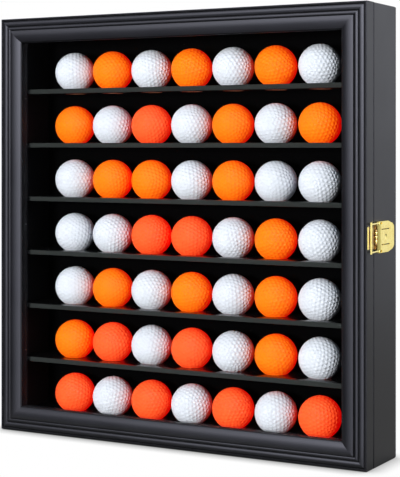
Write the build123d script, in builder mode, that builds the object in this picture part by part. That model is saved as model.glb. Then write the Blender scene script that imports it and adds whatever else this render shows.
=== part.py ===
from build123d import *
import os
from math import sqrt

# Display case for golf balls: a black box of thin boards with grooved-in shelves, a framed and glazed door
# hinged on its left side, and a brass toggle latch on its right side.
# Millimetres. X to the right, Y to the back, Z up. The origin is the middle of the case's underside.

os.makedirs("parts", exist_ok=True)

# Balls and their seats
ball_dia = 42.67
balls_per_row = 7
rows = 7
ball_pitch = 48.1  # centre to centre along a shelf
seat_dia = 22.0  # hole that a ball rests in
head_room = 13.1  # above the balls, up to the next shelf
top_room = 23.6  # above the top row
end_room = 33.4  # from the end balls to the sides

# Boards of the case
board_thick = 12.0
base_board_thick = 8.0
shelf_thick = 4.75
shelf_depth = 52.5
shelf_setback = 0.5  # shelf front edge behind the front of the case
shelf_back_gap = 0.3
seat_from_front = 25.1  # ball centre behind the shelf's front edge
groove_depth = 4.0
groove_clear = 0.25  # all round a shelf in its groove
back_thick = 3.2
back_inset = 0.5  # the back board is this much smaller all round
felt_thick = 1.0
board_round = 0.8  # rounding of the case's long outer edges

# Door: thickness at its outer edge, and the moulding's face
door_thick = 16.85
seam = 1.2  # between the closed door and the case
door_lift = 0.6  # the door clears the table
face_width = 26.0
corner_round = 0.8
band_width = 1.7
quirk_at, quirk_low = 2.4, -1.1
outer_bead_at, outer_bead_top = 5.4, 0.4
bead_groove_at, bead_groove_low = 8.5, -1.0
inner_bead_at, inner_bead_top = 10.55, 0.35
hump_start_at, hump_start_low = 12.6, -0.7
hump_at, hump_top = 18.6, 2.9
hump_end_low = -0.9
sight_chamfer = 0.6
rebate_width = 8.0
lip_thick = 6.0  # from the face down to the pane
pane_thick = 2.0
pane_clear = 0.6
bead_width = 7.0
bead_depth = 7.0
bead_chamfer = 2.0
mitre_key_length, mitre_key_width, mitre_key_thick = 14.0, 6.0, 3.0
mitre_key_in = 9.0  # from both outer edges
mitre_key_back = 5.0  # behind it, up to the door's back

# Fasteners
dowel_dia = 6.0
dowel_in_side = 8.0
dowel_in_board = 14.0
dowel_from_edge = 14.0
brad_dia = 1.6
brad_length = 14.0
brads_up = 4
brad_from_hanger = 15.0  # sideways, from a hanger's end
glazing_pin_dia = 1.0
glazing_pin_length = 10.0
glazing_pins_per_bead = 3
screw_dia = 1.8
screw_head_dia = 3.6
screw_slot = 0.5
screw_length = 9.0

# Hinges, on the left
hinge_height = 38.0
hinge_inset = 72.0  # hinge middle from the door's top and bottom
leaf_thick = 0.8
leaf_gap = 0.1
leaf_width = 10.5  # on the wood
knuckle_dia = 4.2
knuckle_out = 0.3  # knuckle clear of the wood
knuckle_gap = 0.2
hinge_pin_dia = 2.0
running_clear = 0.05  # radial, pins that turn
pin_head_dia, pin_head_thick = 3.4, 0.8
hinge_screws = 3
hinge_screw_pitch = 13.0

# Latch, on the right. Distances "from front" are behind the door's front edge, "out" are off the side face.
latch_drop = 2.0  # latch middle below the middle of the case
brass_thick = 0.9
latch_half = 14.9  # half its height
pivot_back = 1.3  # lever axis behind the front of the case
pivot_out = 1.7
barrel_dia = 2.5
base_knuckle, base_knuckle_pitch = 2.4, 3.9
base_knuckle_foot = 0.6  # past the axis, to the front
lever_knuckle_inner, lever_knuckle_outer = 1.1, 1.6
lever_length = 38.5  # lever axis to the end of the lever
lever_front = 1.5  # lever axis to the lever's front edge
lever_front_out = 2.5
lever_flat_from = 4.6
lever_out = 4.0
lever_tip_out = 4.6
lever_skirt_out = 0.7
lever_tip_drop = 2.2
lever_corner_length, lever_corner_height = 14.0, 5.4
lever_corner_set = 3.5  # the drawn-in corner's middle point, before the tip
lever_hollow_end = 7.0  # the hollow stops this much before the tip
lever_corner_round = 3.0
tongue_half, tongue_length, tongue_slit = 7.3, 21.0, 0.9
tongue_from = 3.2
dimple_dia, dimple_depth, dimple_from_tip = 5.6, 0.5, 19.5
loop_pivot_back, loop_pivot_out = 6.65, 1.9  # from the lever axis, and off the side face
loop_pin_dia = 1.6
loop_eye_dia = 3.0
loop_arm_thick = 1.5
loop_arm_wide = 1.35
loop_side_clear = 0.15
loop_bar_from_front, loop_bar_width, loop_bar_out = 1.6, 2.6, 3.5
loop_bend_in = 4.4
loop_bar_flat = 0.08  # half the flat left on the bar's rounded edges
loop_slot_behind = 2.8
base_plate_half, base_plate_length = 11.5, 25.2
base_screw_half, base_screw_first, base_screw_last = 7.0, 9.5, 20.5
keeper_half, keeper_from_front, keeper_to_seam = 10.5, 1.6, 1.3
keeper_roll_dia = 1.6
hook_half, hook_from_front, hook_length, hook_out, hook_lip = 6.0, 7.4, 2.4, 2.3, 0.8
keeper_screw_half, keeper_screw_to_seam = 7.2, 4.0

# Pads and hangers
pad_dia, pad_clear, pad_inset, pad_from_end = 7.0, 0.1, 6.0, 60.0
hanger_spread = 256.0
hanger_length, hanger_height, hanger_thick = 42.0, 8.0, 0.9
hanger_foot, hanger_raise, hanger_teeth = 7.0, 1.6, 9
hanger_nail_dia, hanger_nail_head, hanger_nail_length = 1.6, 3.2, 12.0
hanger_nail_head_thick = 0.5

# Worked out from the sizes above
ball_radius = ball_dia / 2
ball_rise = sqrt(ball_radius**2 - (seat_dia / 2) ** 2)  # ball centre above its shelf
row_pitch = shelf_thick + ball_rise + ball_radius + head_room
base_top = board_thick + base_board_thick
inner_width = (balls_per_row - 1) * ball_pitch + ball_dia + 2 * end_room
case_width = inner_width + 2 * board_thick
case_height = base_top + (rows - 1) * row_pitch + ball_rise + ball_radius + top_room + board_thick
side_depth = shelf_setback + shelf_depth + shelf_back_gap + felt_thick
depth = door_thick + seam + side_depth + back_thick
door_front = -depth / 2
door_back = door_front + door_thick
case_front = door_back + seam
case_back = case_front + side_depth
side_x = case_width / 2
door_width = case_width
door_height = case_height - door_lift
door_middle = door_lift + door_height / 2
shelf_front = case_front + shelf_setback
seat_y = shelf_front + seat_from_front
latch_z = case_height / 2 - latch_drop

ball_spots = [((i - (balls_per_row - 1) / 2) * ball_pitch, seat_y) for i in range(balls_per_row)]
shelf_tops = [base_top + (rows - 1 - i) * row_pitch for i in range(rows)]  # top row first, base board last


def keep(piece, name):
    piece.part.label = name
    export_step(piece.part, f"parts/{name}.step")


def span_box(low, high, mode=Mode.ADD):
    # a box between two corners, in the part being built
    size = [h - l for l, h in zip(low, high)]
    middle = [(h + l) / 2 for l, h in zip(low, high)]
    with Locations(tuple(middle)):
        Box(*size, mode=mode)


def rods(places, diameter, length, mode=Mode.ADD):
    # round rods that run inwards from each place
    with Locations(*places):
        Cylinder(diameter / 2, length, align=(Align.CENTER, Align.CENTER, Align.MAX), mode=mode)


def screws(places, length, head_thick):
    # slotted countersunk screws, heads flush with each place
    rods(places, screw_dia, length)
    down = (Align.CENTER, Align.CENTER, Align.MAX)
    with Locations(*places):
        Cone(screw_dia / 2, screw_head_dia / 2, head_thick, align=down)
        Box(screw_head_dia, screw_slot, head_thick / 2, align=down, mode=Mode.SUBTRACT)


def screw_holes(places, length, head_thick):
    rods(places, screw_dia, length, mode=Mode.SUBTRACT)
    with Locations(*places):
        Cone(screw_dia / 2, screw_head_dia / 2, head_thick, align=(Align.CENTER, Align.CENTER, Align.MAX),
             mode=Mode.SUBTRACT)


# ---- places that several pieces share ----

hinge_x = -side_x - knuckle_out - knuckle_dia / 2
hinge_y = door_back + seam / 2
hinge_zs = (door_lift + hinge_inset, door_lift + door_height - hinge_inset)
hinge_screw_x = -side_x + board_thick / 2
hinge_screw_zs = [
    z + (i - (hinge_screws - 1) / 2) * hinge_screw_pitch for z in hinge_zs for i in range(hinge_screws)
]
case_leaf_face = hinge_y + leaf_gap / 2
door_leaf_face = hinge_y - leaf_gap / 2
case_hinge_screws = [
    Plane((hinge_screw_x, case_leaf_face, z), x_dir=(0, 0, 1), z_dir=(0, -1, 0)) for z in hinge_screw_zs
]
door_hinge_screws = [
    Plane((hinge_screw_x, door_leaf_face, z), x_dir=(0, 0, 1), z_dir=(0, 1, 0)) for z in hinge_screw_zs
]

dowel_ys = (case_front + dowel_from_edge, case_back - dowel_from_edge)
dowel_zs = (board_thick / 2, case_height - board_thick / 2)
dowel_places = [
    Plane((side * (side_x - board_thick + dowel_in_side), y, z), x_dir=(0, 1, 0), z_dir=(side, 0, 0))
    for side in (-1, 1) for y in dowel_ys for z in dowel_zs
]
dowel_length = dowel_in_side + dowel_in_board

brad_x, brad_low = side_x - board_thick / 2, board_thick / 2
brad_zs = [brad_low + (i + 0.5) * (case_height - board_thick) / brads_up for i in range(brads_up)]
brad_spread = (hanger_spread - hanger_length) / 2 - brad_from_hanger
brad_spots = [(side * brad_x, z) for side in (-1, 1) for z in brad_zs]
brad_spots += [(x, z) for x in (-brad_spread, 0, brad_spread) for z in (brad_low, case_height - brad_low)]
brad_places = [Plane((x, depth / 2, z), x_dir=(1, 0, 0), z_dir=(0, 1, 0)) for x, z in brad_spots]

hanger_z = case_height - board_thick / 2 - back_inset
nail_in = (hanger_length - hanger_foot) / 2
hanger_nails = [
    Plane((side * hanger_spread / 2 + end * nail_in, depth / 2 + hanger_thick, hanger_z),
          x_dir=(1, 0, 0), z_dir=(0, 1, 0))
    for side in (-1, 1) for end in (-1, 1)
]

# the latch's planes: "side" sketches are (back from the door's front, out), "face" sketches (back, up)
latch_side = Plane((side_x, door_front, latch_z), x_dir=(0, 1, 0), z_dir=(0, 0, -1))
latch_face = Plane((side_x, door_front, latch_z), x_dir=(0, 1, 0), z_dir=(1, 0, 0))
pivot_s = door_thick + seam + pivot_back
loop_s = pivot_s + loop_pivot_back
base_screws = [
    Plane((side_x + brass_thick, door_front + pivot_s + s, latch_z + side * base_screw_half),
          x_dir=(0, 1, 0), z_dir=(1, 0, 0))
    for s in (base_screw_first, base_screw_last) for side in (-1, 1)
]
keeper_screws = [
    Plane((side_x + brass_thick, door_back - keeper_screw_to_seam, latch_z + side * keeper_screw_half),
          x_dir=(0, 1, 0), z_dir=(1, 0, 0))
    for side in (-1, 1)
]

# ---- case ----

for name, side in (("side_panel_left", -1), ("side_panel_right", 1)):
    with BuildPart() as panel:
        inner, outer = side * (side_x - board_thick), side * side_x
        span_box((min(inner, outer), case_front, 0), (max(inner, outer), case_back, case_height))
        long_edges = panel.faces().sort_by(Axis.X)[-1 if side > 0 else 0].edges()
        fillet(long_edges, board_round)
        groove_to = side * (side_x - board_thick + groove_depth)
        for top in shelf_tops[:-1]:
            span_box(
                (min(inner, groove_to), case_front, top - shelf_thick - groove_clear),
                (max(inner, groove_to), case_back, top + groove_clear),
                mode=Mode.SUBTRACT,
            )
        rods(dowel_places, dowel_dia, dowel_length, mode=Mode.SUBTRACT)
        rods(brad_places, brad_dia, brad_length, mode=Mode.SUBTRACT)
        if side < 0:
            for z in hinge_zs:
                span_box(
                    (-side_x, case_front, z - hinge_height / 2),
                    (-side_x + leaf_width, case_leaf_face + leaf_thick, z + hinge_height / 2),
                    mode=Mode.SUBTRACT,
                )
            screw_holes(case_hinge_screws, screw_length, leaf_thick)
        else:
            screw_holes(base_screws, screw_length, brass_thick)
    keep(panel, name)

for name, low in (("bottom_panel", 0), ("top_panel", case_height - board_thick)):
    with BuildPart() as panel:
        span_box((-inner_width / 2, case_front, low), (inner_width / 2, case_back, low + board_thick))
        outside = panel.faces().sort_by(Axis.Z)[0 if low == 0 else -1]
        fillet(outside.edges().filter_by(Axis.X), board_round)
        rods(dowel_places, dowel_dia, dowel_length, mode=Mode.SUBTRACT)
        rods(brad_places, brad_dia, brad_length, mode=Mode.SUBTRACT)
        rods(hanger_nails, hanger_nail_dia, hanger_nail_length, mode=Mode.SUBTRACT)
    keep(panel, name)

with BuildPart() as back_panel:
    span_box(
        (-side_x + back_inset, case_back, back_inset),
        (side_x - back_inset, case_back + back_thick, case_height - back_inset),
    )
    rods(brad_places, brad_dia, brad_length, mode=Mode.SUBTRACT)
    rods(hanger_nails, hanger_nail_dia, hanger_nail_length, mode=Mode.SUBTRACT)
keep(back_panel, "back_panel")

with BuildPart() as felt_lining:
    span_box((-inner_width / 2, case_back - felt_thick, board_thick),
             (inner_width / 2, case_back, case_height - board_thick))
keep(felt_lining, "felt_lining")

shelf_end = inner_width / 2 + groove_depth - groove_clear
for i, top in enumerate(shelf_tops[:-1]):
    with BuildPart() as shelf:
        span_box((-shelf_end, shelf_front, top - shelf_thick), (shelf_end, shelf_front + shelf_depth, top))
        with Locations(*[(x, y, top) for x, y in ball_spots]):
            Hole(seat_dia / 2)
    keep(shelf, f"shelf_{i + 1}")

with BuildPart() as base_ball_board:
    span_box(
        (-inner_width / 2, shelf_front, board_thick),
        (inner_width / 2, shelf_front + shelf_depth, base_top),
    )
    with Locations(*[(x, y, base_top) for x, y in ball_spots]):
        Hole(seat_dia / 2, depth=base_board_thick)
keep(base_ball_board, "base_ball_board")

for i, top in enumerate(shelf_tops):
    with BuildPart() as ball_row:
        with Locations(*[(x, y, top + ball_rise) for x, y in ball_spots]):
            Sphere(ball_radius)
    keep(ball_row, f"ball_row_{i + 1}")

with BuildPart() as case_dowels:
    rods(dowel_places, dowel_dia, dowel_length)
keep(case_dowels, "case_dowels")

with BuildPart() as back_brads:
    rods(brad_places, brad_dia, brad_length)
keep(back_brads, "back_brads")

# ---- hangers: toothed strips nailed through the back board into the top panel ----

with BuildPart() as hangers:
    for side in (-1, 1):
        middle = side * hanger_spread / 2
        half, flat = hanger_length / 2, hanger_length / 2 - hanger_foot
        raised = flat - hanger_raise
        with BuildSketch(Plane.XY.offset(hanger_z - hanger_height / 2)):
            with BuildLine():
                rise = [(raised, hanger_raise), (flat, 0), (half, 0)]
                low = [(-x, y) for x, y in reversed(rise)] + rise
                high = [(x, y + hanger_thick) for x, y in reversed(low)]
                Polyline(*[(middle + x, depth / 2 + y) for x, y in low + high], close=True)
            make_face()
        extrude(amount=hanger_height)
        tooth = 2 * raised / (hanger_teeth + 1)
        tooth_spots = [(i - (hanger_teeth - 1) / 2) * tooth for i in range(hanger_teeth)]
        with Locations(*[
            (middle + x, depth / 2 + hanger_raise, hanger_z - hanger_height / 2) for x in tooth_spots
        ]):
            Box(tooth / sqrt(2), 2 * hanger_raise, tooth / sqrt(2), rotation=(0, 45, 0), mode=Mode.SUBTRACT)
    rods(hanger_nails, hanger_nail_dia, hanger_nail_length, mode=Mode.SUBTRACT)
keep(hangers, "wall_hangers")

with BuildPart() as nails:
    rods(hanger_nails, hanger_nail_dia, hanger_nail_length)
    with Locations(*hanger_nails):
        Cylinder(hanger_nail_head / 2, hanger_nail_head_thick, align=(Align.CENTER, Align.CENTER, Align.MIN))
keep(nails, "hanger_nails")

# ---- door frame: four mitred lengths of one moulding ----


def member_planes(inset):
    # for each side of the frame: a plane across its outer edge's middle, x inwards and y to the front,
    # and half its length
    half_w, half_h = door_width / 2 - inset, door_height / 2 - inset
    return {
        "bottom": (Plane((0, door_front, door_middle - half_h), x_dir=(0, 0, 1), z_dir=(1, 0, 0)), half_w),
        "top": (Plane((0, door_front, door_middle + half_h), x_dir=(0, 0, -1), z_dir=(-1, 0, 0)), half_w),
        "left": (Plane((-half_w, door_front, door_middle), x_dir=(1, 0, 0), z_dir=(0, 0, -1)), half_h),
        "right": (Plane((half_w, door_front, door_middle), x_dir=(-1, 0, 0), z_dir=(0, 0, 1)), half_h),
    }


def moulding_section(plane):
    sight_in = face_width - sight_chamfer
    with BuildSketch(plane) as section:
        with BuildLine():
            outside = Line((0, -door_thick), (0, -corner_round))
            corner = RadiusArc(outside @ 1, (corner_round, 0), corner_round)
            band = Line(corner @ 1, (band_width, 0))
            quirk = Line(band @ 1, (quirk_at, quirk_low))
            groove = (bead_groove_at, bead_groove_low)
            hump_start = (hump_start_at, hump_start_low)
            bead = ThreePointArc(quirk @ 1, (outer_bead_at, outer_bead_top), groove)
            second = ThreePointArc(bead @ 1, (inner_bead_at, inner_bead_top), hump_start)
            hump = ThreePointArc(second @ 1, (hump_at, hump_top), (sight_in, hump_end_low))
            Polyline(
                hump @ 1,
                (face_width, hump_end_low - sight_chamfer),
                (face_width, -lip_thick),
                (face_width - rebate_width, -lip_thick),
                (face_width - rebate_width, -door_thick),
                outside @ 0,
            )
        make_face()
    return section.sketch


def bead_section(plane):
    # the plane lies across the rebate's outer wall
    back = -lip_thick - pane_thick - bead_depth
    with BuildSketch(plane) as section:
        with BuildLine():
            Polyline(
                (0, -lip_thick - pane_thick),
                (bead_width, -lip_thick - pane_thick),
                (bead_width, back + bead_chamfer),
                (bead_width - bead_chamfer, back),
                (0, back),
                close=True,
            )
        make_face()
    return section.sketch


def cut_mitres(plane, half):
    for end in (-1, 1):
        corner = plane.from_local_coords((0, 0, end * half))
        split(bisect_by=Plane(corner, z_dir=plane.x_dir + plane.z_dir * end), keep=Keep.BOTTOM)


mitre_key_places = [
    Plane(
        (side * (door_width / 2 - mitre_key_in), door_back - mitre_key_back - mitre_key_thick / 2,
         door_middle + up * (door_height / 2 - mitre_key_in)),
        x_dir=(side, 0, -up), z_dir=(0, 1, 0),
    )
    for side in (-1, 1) for up in (-1, 1)
]


def mitre_key_boxes(mode=Mode.ADD):
    with Locations(*mitre_key_places):
        Box(mitre_key_length, mitre_key_width, mitre_key_thick, mode=mode)


bead_planes = member_planes(face_width - rebate_width)
glazing_pins = []
for plane, half in bead_planes.values():
    for i in range(glazing_pins_per_bead):
        along = (i - (glazing_pins_per_bead - 1) / 2) * 2 * half / glazing_pins_per_bead
        spot = plane.from_local_coords((bead_width, -lip_thick - pane_thick - bead_depth / 2, along))
        glazing_pins.append(Plane(spot, x_dir=plane.z_dir, z_dir=plane.x_dir))

frame_names = {
    "bottom": "door_rail_bottom",
    "top": "door_rail_top",
    "left": "door_stile_left",
    "right": "door_stile_right",
}
for where, (plane, half) in member_planes(0).items():
    with BuildPart() as member:
        extrude(moulding_section(plane), amount=half, both=True)
        cut_mitres(plane, half)
        mitre_key_boxes(mode=Mode.SUBTRACT)
        rods(glazing_pins, glazing_pin_dia, glazing_pin_length, mode=Mode.SUBTRACT)
        if where == "left":
            for z in hinge_zs:
                span_box(
                    (-side_x, door_leaf_face - leaf_thick, z - hinge_height / 2),
                    (-side_x + leaf_width, door_back, z + hinge_height / 2),
                    mode=Mode.SUBTRACT,
                )
            screw_holes(door_hinge_screws, screw_length, leaf_thick)
        if where == "right":
            screw_holes(keeper_screws, screw_length, brass_thick)
    keep(member, frame_names[where])

with BuildPart() as mitre_keys:
    mitre_key_boxes()
keep(mitre_keys, "mitre_keys")

pane_reach = face_width - rebate_width + pane_clear
pane_half_width, pane_half_height = door_width / 2 - pane_reach, door_height / 2 - pane_reach
pane_front = door_front + lip_thick
with BuildPart() as glazing_pane:
    span_box(
        (-pane_half_width, pane_front, door_middle - pane_half_height),
        (pane_half_width, pane_front + pane_thick, door_middle + pane_half_height),
    )
keep(glazing_pane, "glazing_pane")

for where, (plane, half) in bead_planes.items():
    with BuildPart() as bead_strip:
        extrude(bead_section(plane), amount=half, both=True)
        cut_mitres(plane, half)
        rods(glazing_pins, glazing_pin_dia, glazing_pin_length, mode=Mode.SUBTRACT)
    keep(bead_strip, f"glazing_bead_{where}")

with BuildPart() as pins:
    rods(glazing_pins, glazing_pin_dia, glazing_pin_length)
keep(pins, "glazing_pins")

with BuildPart() as door_pads:
    for z in (door_lift + pad_from_end, door_lift + door_height - pad_from_end):
        with Locations(Plane((side_x - pad_inset, door_back, z), x_dir=(1, 0, 0), z_dir=(0, 1, 0))):
            Cylinder(pad_dia / 2, seam - pad_clear, align=(Align.CENTER, Align.CENTER, Align.MIN))
keep(door_pads, "door_pads")

# ---- hinges ----

knuckle_length = (hinge_height - 2 * knuckle_gap) / 3
leaf_start = hinge_x + knuckle_dia / 2 + knuckle_gap


def hinge_leaves(face, direction, knuckles, screw_places):
    # one leaf of each hinge: a plate from its face towards the wood, and the knuckles it carries
    low, high = sorted((face, face + direction * leaf_thick))
    for z in hinge_zs:
        span_box((leaf_start, low, z - hinge_height / 2), (-side_x + leaf_width, high, z + hinge_height / 2))
        for k in knuckles:
            middle, half = z + k * (knuckle_length + knuckle_gap), knuckle_length / 2
            span_box((hinge_x, low, middle - half), (leaf_start, high, middle + half))
            with Locations((hinge_x, hinge_y, middle)):
                Cylinder(knuckle_dia / 2, knuckle_length)
        with Locations((hinge_x, hinge_y, z)):
            Cylinder(hinge_pin_dia / 2 + running_clear, hinge_height, mode=Mode.SUBTRACT)
    screw_holes(screw_places, screw_length, leaf_thick)


with BuildPart() as case_leaves:
    hinge_leaves(case_leaf_face, 1, (-1, 1), case_hinge_screws)
keep(case_leaves, "hinge_leaves_case")

with BuildPart() as door_leaves:
    hinge_leaves(door_leaf_face, -1, (0,), door_hinge_screws)
keep(door_leaves, "hinge_leaves_door")

with BuildPart() as hinge_pins:
    for z in hinge_zs:
        with Locations((hinge_x, hinge_y, z)):
            Cylinder(hinge_pin_dia / 2, hinge_height)
        head_at = (hinge_height + pin_head_thick) / 2
        with Locations((hinge_x, hinge_y, z - head_at), (hinge_x, hinge_y, z + head_at)):
            Cylinder(pin_head_dia / 2, pin_head_thick)
keep(hinge_pins, "hinge_pins")

with BuildPart() as case_screws:
    screws(case_hinge_screws, screw_length, leaf_thick)
keep(case_screws, "hinge_screws_case")

with BuildPart() as door_screws:
    screws(door_hinge_screws, screw_length, leaf_thick)
keep(door_screws, "hinge_screws_door")

# ---- latch ----


def barrels(middles, length, mode=Mode.ADD, diameter=barrel_dia):
    # knuckles on the lever's axis
    with Locations(*[(side_x + pivot_out, door_front + pivot_s, latch_z + z) for z in middles]):
        Cylinder(diameter / 2, length, mode=mode)


base_middles = [i * base_knuckle_pitch for i in (-1, 0, 1)]
lever_inner = [i * base_knuckle_pitch / 2 for i in (-1, 1)]
lever_outer_at = base_knuckle_pitch + (base_knuckle + lever_knuckle_outer) / 2 + knuckle_gap
lever_outer = [-lever_outer_at, lever_outer_at]
pin_reach = 2 * lever_outer_at + lever_knuckle_outer
lever_pin_dia = barrel_dia / 2

with BuildPart() as latch_base:
    plate_front = door_front + pivot_s + lever_front
    span_box(
        (side_x, plate_front, latch_z - base_plate_half),
        (side_x + brass_thick, plate_front + base_plate_length, latch_z + base_plate_half),
    )
    corners = latch_base.edges().filter_by(Axis.X).group_by(Axis.Y)[-1]
    fillet(corners, screw_head_dia / 2)
    for z in base_middles:
        span_box(
            (side_x, door_front + pivot_s - base_knuckle_foot, latch_z + z - base_knuckle / 2),
            (side_x + brass_thick, plate_front, latch_z + z + base_knuckle / 2),
        )
    barrels(base_middles, base_knuckle)
    barrels([0], pin_reach, mode=Mode.SUBTRACT, diameter=lever_pin_dia + 2 * running_clear)
    screw_holes(base_screws, screw_length, brass_thick)
keep(latch_base, "latch_base")

with BuildPart() as latch_screws:
    screws(base_screws, screw_length, brass_thick)
keep(latch_screws, "latch_base_screws")

with BuildPart() as lever_pin:
    barrels([0], pin_reach, diameter=lever_pin_dia)
keep(lever_pin, "latch_lever_pin")

arm_out = latch_half - brass_thick - loop_side_clear  # outer face of the loop's arms
arm_in = arm_out - loop_arm_wide

lever_tip = pivot_s + lever_length
front = pivot_s + lever_front
flat_from = pivot_s + lever_flat_from
bend = lever_tip - lever_corner_length


def lever_outline(inset):
    # the lever seen from the side, with its long rear corners drawn in
    half, end = latch_half - inset, lever_tip - inset
    low = [
        (front, -half),
        (bend - inset, -half),
        (end - lever_corner_set, lever_corner_height / 2 - half),
        (end, lever_corner_height + inset - latch_half),
    ]
    return low + [(s, -z) for s, z in reversed(low)]


with BuildPart() as lever:
    with BuildSketch(latch_side):
        with BuildLine():
            Polyline(
                (front, lever_skirt_out),
                (front, lever_front_out),
                (flat_from, lever_out),
                (bend, lever_out),
                (lever_tip, lever_tip_out),
                (lever_tip, lever_tip_out - lever_tip_drop),
                (bend, lever_skirt_out),
                close=True,
            )
        make_face()
    extrude(amount=latch_half, both=True)
    with BuildSketch(latch_face):
        with BuildLine():
            Polyline(*lever_outline(0), close=True)
        face = make_face()
        fillet(face.vertices().group_by(Axis.X)[-1], lever_corner_round)
    extrude(amount=lever_tip_out + brass_thick, mode=Mode.INTERSECT)
    # hollow underneath, open to the front and to the wood
    with BuildSketch(latch_face):
        with BuildLine():
            Polyline(*lever_outline(brass_thick), close=True)
        make_face()
    extrude(amount=lever_front_out - brass_thick, mode=Mode.SUBTRACT)
    hollow_half = latch_half - brass_thick
    for end, half in (
        (lever_tip - lever_hollow_end, hollow_half - lever_corner_height / 2),
        (bend - brass_thick, hollow_half),
    ):
        with BuildSketch(latch_side):
            with BuildLine():
                Polyline(
                    (front, 0),
                    (front, lever_front_out - brass_thick),
                    (flat_from, lever_out - brass_thick),
                    (end, lever_out - brass_thick),
                    (end, 0),
                    close=True,
                )
            make_face()
        extrude(amount=half, both=True, mode=Mode.SUBTRACT)
    # slits beside the tongue, and open slots that the loop's arms rise through
    with BuildSketch(latch_face):
        with Locations(*[(flat_from + tongue_from + tongue_length / 2, up * tongue_half) for up in (-1, 1)]):
            SlotOverall(tongue_length, tongue_slit)
    extrude(amount=lever_tip_out + brass_thick, mode=Mode.SUBTRACT)
    for up in (-1, 1):
        low, high = sorted((up * (arm_in - loop_side_clear), up * (latch_half - brass_thick)))
        span_box(
            (side_x, door_front + front, latch_z + low),
            (side_x + lever_tip_out, door_front + loop_s + loop_slot_behind, latch_z + high),
            mode=Mode.SUBTRACT,
        )
    dimple_ball = (dimple_dia**2 / 4 + dimple_depth**2) / (2 * dimple_depth)
    dimple_out = lever_out - dimple_depth + dimple_ball
    with Locations((side_x + dimple_out, door_front + lever_tip - dimple_from_tip, latch_z)):
        Sphere(dimple_ball, mode=Mode.SUBTRACT)
    for middles, length in ((lever_inner, lever_knuckle_inner), (lever_outer, lever_knuckle_outer)):
        for z in middles:
            span_box(
                (side_x + lever_front_out - brass_thick, door_front + pivot_s, latch_z + z - length / 2),
                (side_x + lever_front_out, door_front + front, latch_z + z + length / 2),
            )
        barrels(middles, length)
    barrels([0], pin_reach, mode=Mode.SUBTRACT, diameter=lever_pin_dia + 2 * running_clear)
    with Locations((side_x + loop_pivot_out, door_front + loop_s, latch_z)):
        Cylinder(loop_pin_dia / 2, 2 * latch_half, mode=Mode.SUBTRACT)
keep(lever, "latch_lever")

with BuildPart() as loop_pin:
    with Locations((side_x + loop_pivot_out, door_front + loop_s, latch_z)):
        Cylinder(loop_pin_dia / 2, 2 * latch_half)
keep(loop_pin, "latch_loop_pin")

with BuildPart() as loop:
    half_arm = loop_arm_thick / 2
    bar_from, bar_to = loop_bar_from_front, loop_bar_from_front + loop_bar_width
    bend_s = bar_to + loop_bend_in
    for up in (-1, 1):
        with BuildSketch(latch_side.offset(up * (arm_in + loop_arm_wide / 2))):
            with BuildLine():
                Polyline(
                    (loop_s, loop_pivot_out - half_arm), (door_thick, loop_pivot_out - half_arm),
                    (bend_s, loop_bar_out - half_arm), (bar_from + half_arm, loop_bar_out - half_arm),
                    (bar_from + half_arm, loop_bar_out + half_arm), (bend_s, loop_bar_out + half_arm),
                    (door_thick, loop_pivot_out + half_arm), (loop_s, loop_pivot_out + half_arm), close=True,
                )
            make_face()
            with Locations((loop_s, loop_pivot_out)):
                Circle(loop_eye_dia / 2)
                Circle(loop_pin_dia / 2 + running_clear, mode=Mode.SUBTRACT)
        extrude(amount=loop_arm_wide / 2, both=True)
    with BuildSketch(latch_side):
        with Locations(((bar_from + bar_to) / 2, loop_bar_out)):
            RectangleRounded(loop_bar_width, loop_arm_thick, half_arm - loop_bar_flat)
    extrude(amount=latch_half, both=True)
keep(loop, "latch_loop")

with BuildPart() as keeper:
    plate_to = door_thick - keeper_to_seam
    roll = keeper_roll_dia / 2
    span_box(
        (side_x, door_front + keeper_from_front, latch_z - keeper_half),
        (side_x + brass_thick, door_front + plate_to, latch_z + keeper_half),
    )
    with Locations((side_x + roll, door_front + keeper_from_front, latch_z)):
        Cylinder(roll, 2 * keeper_half)
    with BuildSketch(latch_side):
        with BuildLine():
            hook_to = hook_from_front + hook_length
            Polyline(
                (hook_to, 0),
                (hook_to, hook_out),
                (hook_from_front, hook_out),
                (hook_from_front, hook_out - hook_lip),
                (hook_to - hook_lip, hook_out - hook_lip),
                (hook_to - hook_lip, 0),
                close=True,
            )
        make_face()
    extrude(amount=hook_half, both=True)
    screw_holes(keeper_screws, screw_length, brass_thick)
keep(keeper, "latch_keeper")

with BuildPart() as keeper_screw_group:
    screws(keeper_screws, screw_length, brass_thick)
keep(keeper_screw_group, "latch_keeper_screws")
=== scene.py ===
import math
import random

import bmesh
import bpy
import numpy as np
from mathutils import Matrix, Vector


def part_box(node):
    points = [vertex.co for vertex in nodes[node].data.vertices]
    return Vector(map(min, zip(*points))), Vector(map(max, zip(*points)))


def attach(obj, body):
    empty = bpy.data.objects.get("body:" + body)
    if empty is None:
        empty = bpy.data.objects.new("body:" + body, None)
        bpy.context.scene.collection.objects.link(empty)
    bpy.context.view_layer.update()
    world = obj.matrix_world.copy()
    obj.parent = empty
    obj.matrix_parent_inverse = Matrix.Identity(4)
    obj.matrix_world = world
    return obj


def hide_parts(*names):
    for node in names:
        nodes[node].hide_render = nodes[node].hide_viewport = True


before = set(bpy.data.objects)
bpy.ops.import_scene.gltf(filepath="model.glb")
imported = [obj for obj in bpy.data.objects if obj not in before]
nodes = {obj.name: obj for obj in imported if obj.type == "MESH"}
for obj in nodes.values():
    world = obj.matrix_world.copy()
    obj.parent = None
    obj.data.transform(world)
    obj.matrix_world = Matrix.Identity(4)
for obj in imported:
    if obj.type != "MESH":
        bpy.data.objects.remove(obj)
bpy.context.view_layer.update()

mm = 0.001
weld = 0.002 * mm  # points nearer together than this become one
scene = bpy.context.scene
print("frame loaded:", len(nodes), "pieces")


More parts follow.
